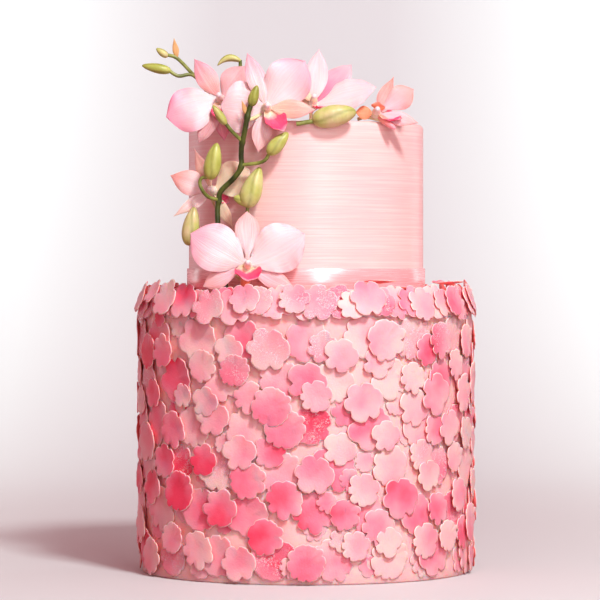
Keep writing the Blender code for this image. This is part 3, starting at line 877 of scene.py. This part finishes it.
# The right petal and the two lower sepals of this flower are painted mauve: painted shade for its side in
# shadow.
orchid("orchid_top_left", (-53.6, -62, 302), (-0.2, -1, 0.2),
       petals=[(-33.4, -2, -10.6, 30, round_leaf, petal_white, deep_rose),
               (14.5, 6, 21, 19, round_leaf, mauve_and_painted_shade, mauve_and_painted_shade)],
       sepals=[(-16.4, 3, 25.2, 13.5, oval_leaf, salmon, rose), (-13.9, -4, -27, 12, oval_leaf, mauve_and_painted_shade, mauve_and_painted_shade),
               (2, -3, -25, 11, oval_leaf, mauve_and_painted_shade, deep_rose)],
       lip=(1, -8, -13, 13), chin=(2, 5, -5, 2.6), stalk=[(-49, -54, 296), (-47.5, -50.5, 289.6)])
orchid("orchid_top_middle", (-25, -80, 296.1), (0.1, -1, 0),
       petals=[(-27.6, 2, 1.3, 33, round_leaf, petal_white, shell_pink),
               (23.4, 0, 28.5, 30, round_leaf, petal_white, rose)],
       sepals=[(-11.6, 2, 33.4, 12.5, oval_leaf, petal_white, rose),
               (-5, 0, -27, 12.5, oval_leaf, petal_white, salmon),
               (29.6, -5, -1.5, 12, oval_leaf, peach, salmon)],
       lip=(10.6, -9, -14.4, 14), chin=(-2, 3, -4, 2.6), stalk=[(-30, -79.5, 291), (-35.6, -84.6, 288.5)])
# The sepal that rises to the right is deep rose at its base: painted shade for the inside of that sepal in
# shadow.
orchid("orchid_top_right", (4.4, -58, 298.6), (0.1, -0.8, 0.6),
       petals=[(38.4, -8, 10.8, 24, round_leaf, petal_white, shell_pink),
               (3.6, 2, 34.8, 15, oval_leaf, petal_white, shell_pink)],
       sepals=[(23.4, 8, 25.4, 17, round_leaf, deep_rose, shell_pink),
               (-6.5, -1, 13.6, 8, oval_leaf, cream, peach),
               (-11, 5, 3, 8, lance_leaf, cream, salmon)],
       lip=(7, -7, -1, 9), chin=(-3, 0, -4.5, 2.4), stalk=[(3, -57, 293), (3, -56, 289.4)])
orchid("orchid_far_right", (44.1, -61, 293.5), (0.1, -1, 0.15),
       petals=[(22.8, -1, 14.8, 16, spoon_leaf, shell_pink, coral),
               (-12.8, -5, 0.6, 9, oval_leaf, orange, orange)],
       sepals=[(10.8, 3, 22.5, 9, lance_leaf, salmon, coral),
               (25.6, -4, -6, 9, oval_leaf, shell_pink, salmon),
               (2, -5, 7, 9, lance_leaf, orange, coral)],
       lip=(15.6, -6, -3.2, 9), chin=(12, -5, -10, 2.4), stalk=[(38, -58, 291.4), (32.6, -56, 290.1)],
       spur=(coral, rose))
orchid("orchid_side", (-58.8, -62, 244.6), (-0.3, -1, 0),
       petals=[(22.8, -7.5, 12.5, 24, round_leaf, cream, peach),
               (-25.8, -4, 9.5, 16, oval_leaf, petal_white, coral)],
       sepals=[(-11.3, -2, 25.8, 9, lance_leaf, peach, salmon),
               (-23.8, -4, -15.4, 8, lance_leaf, petal_white, peach),
               (12, -0.5, -22, 8, oval_leaf, cream, peach)],
       lip=(10.2, 0.4, -6.9, 8.4), chin=(-2, 3, -4, 2.2), stalk=[(-59, -60, 239), (-55.2, -54, 231)],
       spur=(cream, peach))

# Buds and stems
# The flowering stem of the same orchid, dark green and jointed, with its closed buds on thin stalks.
# Every bud is three sepals pressed together, so shallow seams run from its base to its point.

bud_green = (0.40, 0.46, 0.09)
bud_lime = (0.52, 0.58, 0.16)
bud_cream = (0.66, 0.68, 0.32)
bud_beige = (0.66, 0.58, 0.32)
stem_dark = (0.018, 0.034, 0.004)
stem_green = (0.09, 0.13, 0.02)
stem_lime = (0.30, 0.36, 0.08)
bract_brown = (0.62, 0.36, 0.14)

bud_skin, tree, shader = new_finish("orchid_bud", 0.4, subsurface_weight=0.12, subsurface_scale=0.002)
blotch = spread(tree, object_noise(tree, 110, 3), 0.35, 0.65, 0, 1)
lines = spread(tree, object_noise(tree, 240, 3, stretch=(1, 1, 0.3)), 0.4, 0.7, 0, 0.35)
colour = mixed(tree, blotch, tint_of(tree, "inner"), tint_of(tree, "outer"))
ends = spread(tree, blend_of(tree, "along"), 0.82, 1.0, 0, 0.55)
colour = mixed(tree, ends, colour, (0.30, 0.36, 0.06))
colour = mixed(tree, lines, colour, (0.62, 0.66, 0.30), "MULTIPLY")
colour = mixed(tree, worked(tree, "MULTIPLY", blend_of(tree, "side"), 0.7), colour, (0.20, 0.22, 0.04))
tree.links.new(colour, shader.inputs["Base Color"])
tree.links.new(spread(tree, object_noise(tree, 400, 2), 0.3, 0.7, 0.32, 0.48), shader.inputs["Roughness"])
raised(tree, shader, object_noise(tree, 300, 3, stretch=(1, 1, 0.4)), 0.3 * MM)

stem_skin, tree, shader = new_finish("orchid_stem", 0.38)
colour = mixed(tree, spread(tree, object_noise(tree, 120, 3), 0.35, 0.65, 0, 1), tint_of(tree, "inner"),
               tint_of(tree, "outer"))
tree.links.new(colour, shader.inputs["Base Color"])
tree.links.new(spread(tree, object_noise(tree, 350, 2), 0.3, 0.7, 0.3, 0.5), shader.inputs["Roughness"])
raised(tree, shader, object_noise(tree, 500, 3, stretch=(1, 1, 0.3)), 0.2 * MM)

front = Vector((0, -1, 0))
bud_lots = itertools.count(101)


def bud(base, tip, radius, taper=0.25, bend=(0, 0, 0), inner=bud_green, outer=bud_lime):
    """One closed bud."""
    return body(mm(*base), mm(*tip), radius * MM, bud_skin, next(bud_lots), inner, outer, taper, mm(*bend),
                3, 0.10)


def stalk(*points, inner=stem_green, outer=stem_lime, knots=()):
    """One thin stalk."""
    return cane(points, stalk_radius, stem_skin, 1, inner, outer, knots)


def bract(base, tip, width):
    """A small dry leaf at a joint."""
    return blade(mm(*base), mm(*tip), width * MM, front, lance_leaf, stem_skin, 7, bract_brown, bract_brown)


main_stem = cane([(-50, -68, 181.3), (-54, -67, 205), (-55.8, -66.5, 229.5), (-55, -67.5, 238.3),
                  (-53.5, -69.5, 244.5), (-45.2, -73.5, 252.6), (-40.8, -76, 259.4), (-40.7, -77.5, 266.3),
                  (-40.3, -80, 273), (-38.8, -83.5, 279.4), (-37.3, -86, 287), (-36.4, -87, 292),
                  (-34.3, -88, 298.5)], 1.7 * MM, stem_skin, 1, stem_dark, stem_green,
                 knots=[(-55, -67.5, 238.3), (-40.8, -76, 259.4), (-40.1, -81, 274.5), (-36.8, -86.6, 290.5)])
gathered("spray_stem", [
    main_stem,
    bud((-34.5, -88, 296.6), (-30.5, -89.5, 309.7), 3.2, inner=(0.22, 0.25, 0.04), outer=bud_green),
    bract((-36.8, -86.8, 290.5), (-40, -88.5, 300), 3),
    bud((-49.9, -86, 285.3), (-58.2, -87, 297.4), 2.7, inner=bud_beige, outer=bud_green),
    stalk((-40, -81.5, 275.3), (-46, -84.5, 281), (-50.5, -86, 286.5)),
    bud((-60.5, -79, 251.3), (-55.7, -80, 274.3), 5.3, outer=bud_lime),
    stalk((-55.6, -68, 239), (-61, -74, 240.5), (-64.5, -77, 244), (-66.6, -78, 249), (-65.3, -78.6, 252.4),
          (-60.8, -79, 253)),
    bud((-24, -84, 267), (-11.3, -84, 280.6), 4.5, inner=bud_lime, outer=bud_green),
    stalk((-40.8, -76.5, 260.5), (-27.2, -82, 262.5), (-22.5, -84, 268.5)),
    bud((-38, -77, 234), (-28.8, -78, 259.3), 6.4, 0.38, inner=bud_lime, outer=bud_cream),
    bud((-45.5, -77, 240.4), (-33, -77.4, 236.5), 3.6, -0.2, inner=bud_lime, outer=bud_green),
    stalk((-54.5, -67, 209), (-46, -72, 210.5), (-38.5, -75.5, 218), (-36.5, -76.5, 236))],
    "bud_spray")
gathered("left_sprig", [
    stalk((-56, -44, 289.4), (-62, -46, 306), (-71.5, -48, 318.2), (-81, -50, 317.8), (-88, -50, 322)),
    bud((-85.5, -50, 321), (-104, -50, 324.4), 3.1),
    stalk((-71.5, -48, 318.6), (-81.8, -50, 329), (-90, -50, 331.5)),
    bud((-87.5, -50, 330), (-95, -50, 335.2), 2.3, inner=bud_lime, outer=bud_beige),
    bract((-81.8, -50, 328.6), (-83.7, -50, 341.2), 4)], "bud_sprig_left")
gathered("top_bud", [
    stalk((-45, -45, 289.2), (-42, -46, 308), (-41.8, -46, 328)),
    bud((-40.8, -46, 327.4), (-56.4, -46, 324.6), 2.3, 0.3, (-0.9, 0, 3.4), inner=bud_lime, outer=bud_cream)],
    "bud_top")
gathered("low_left_bud", [
    stalk((-55.8, -68.1, 207), (-66, -71, 206.5), (-73, -70.5, 213.5)),
    bud((-74.3, -70.5, 210.2), (-70.3, -70, 234.4), 5.3, inner=bud_beige, outer=bud_lime)],
    "bud_low_left")
gathered("edge_bud", [
    cane([(-6.2, -80.5, 286.2), (6, -80.3, 288)], 1.5 * MM, stem_skin, 1, stem_green, stem_lime),
    bud((3.4, -80.2, 288.5), (31.2, -79.6, 293.8), 7.0, 0.12, inner=bud_lime, outer=bud_beige)],
    "bud_on_edge")

# Floor, light and camera
# A pale floor that curves up into the backdrop, a small soft key lamp, a tall strip lamp and two lamps on
# the backdrop. The floor throws darker, pinker light than it shows, so the shade on the cake stays deep.

flat_end = 0.8
sweep_radius = 1.2
sweep_steps = 24
half_breadth = 5.0
sweep = [(-6.0, 0.0), (flat_end, 0.0)]
for step in range(1, sweep_steps + 1):
    turn = math.radians(90 * step / sweep_steps)
    sweep.append((flat_end + sweep_radius * math.sin(turn), sweep_radius - sweep_radius * math.cos(turn)))
sweep.append((flat_end + sweep_radius, 6.0))
corners = [(x, y, z) for y, z in sweep for x in (-half_breadth, half_breadth)]
floor_mesh = bpy.data.meshes.new("floor")
floor_mesh.from_pydata(corners, [], [(2 * i, 2 * i + 1, 2 * i + 3, 2 * i + 2) for i in range(len(sweep) - 1)])
floor_mesh.shade_smooth()
pale, tree, shader = new_finish("pale_floor", 0.6)
spot = node(tree, "ShaderNodeTexCoord").outputs["Object"]
spot = node(tree, "ShaderNodeSeparateXYZ", {"Vector": spot})
# Painted shade: the floor is painted darker behind the middle and towards the front, where less light reaches
# it, and paler at the sides.
off_middle = spread(tree, worked(tree, "ABSOLUTE", spot.outputs["X"]), 0.10, 0.30, 0, 1)
colour = mixed(tree, off_middle, (0.67, 0.73, 0.75), (0.84, 0.99, 0.99))
colour = mixed(tree, worked(tree, "MULTIPLY", object_noise(tree, 3), 0.1), colour, (0.80, 0.86, 0.87))
in_front = spread(tree, spot.outputs["Y"], -0.3, 0.6, 0.6, 0)
colour = mixed(tree, in_front, colour, (0.62, 0.70, 0.71))
seen = node(tree, "ShaderNodeLightPath").outputs["Is Camera Ray"]
tree.links.new(mixed(tree, seen, (0.45, 0.28, 0.29), colour), shader.inputs["Base Color"])
new_piece("floor", floor_mesh, pale)


def lamp(name, azimuth, height, distance, size, power, colour, aim=(0, 0, 0.17)):
    """A soft square lamp, azimuth counted from the front towards the right."""
    light = bpy.data.lights.new(name, "AREA")
    light.shape = "RECTANGLE"
    light.size, light.size_y = size
    light.energy = power
    light.color = colour
    turn = math.radians(azimuth)
    flat = distance * math.cos(math.radians(height))
    place = Vector((flat * math.sin(turn), -flat * math.cos(turn), distance * math.sin(math.radians(height))))
    made = bpy.data.objects.new(name, light)
    made.location = place + Vector(aim)
    made.rotation_euler = (-place).to_track_quat("-Z", "Y").to_euler()
    bpy.context.scene.collection.objects.link(made)


lamp("key", 22, 44, 1.7, (0.26, 0.26), 27, (1.0, 0.98, 0.97))
lamp("strip", 14, 8, 1.7, (0.40, 1.3), 10, (1.0, 0.98, 0.98))
lamp("wall left", -50, 10, 1.3, (0.6, 1.2), 19, (0.86, 1.0, 1.0), aim=(-0.3, 2.0, 0.2))
lamp("wall right", 50, 10, 1.3, (0.6, 1.2), 19, (0.86, 1.0, 1.0), aim=(0.3, 2.0, 0.2))

sky = bpy.data.worlds.new("studio")
sky.use_nodes = True
shade = sky.node_tree.nodes["Background"]
shade.inputs["Color"].default_value = (1.0, 0.42, 0.44, 1)
shade.inputs["Strength"].default_value = 0.50
bpy.context.scene.world = sky
bpy.context.scene.view_settings.view_transform = "Standard"

eye = Vector((-3.9, -2132, 198)) * MM
target = Vector((-3.9, 0, 175.3)) * MM
lens = bpy.data.cameras.new("camera")
lens.lens = 197.0
lens.sensor_width = 36.0
lens.clip_start = 0.05
lens.clip_end = 200
camera = bpy.data.objects.new("camera", lens)
camera.location = eye
camera.rotation_euler = (target - eye).to_track_quat("-Z", "Y").to_euler()
bpy.context.scene.collection.objects.link(camera)
bpy.context.scene.camera = camera
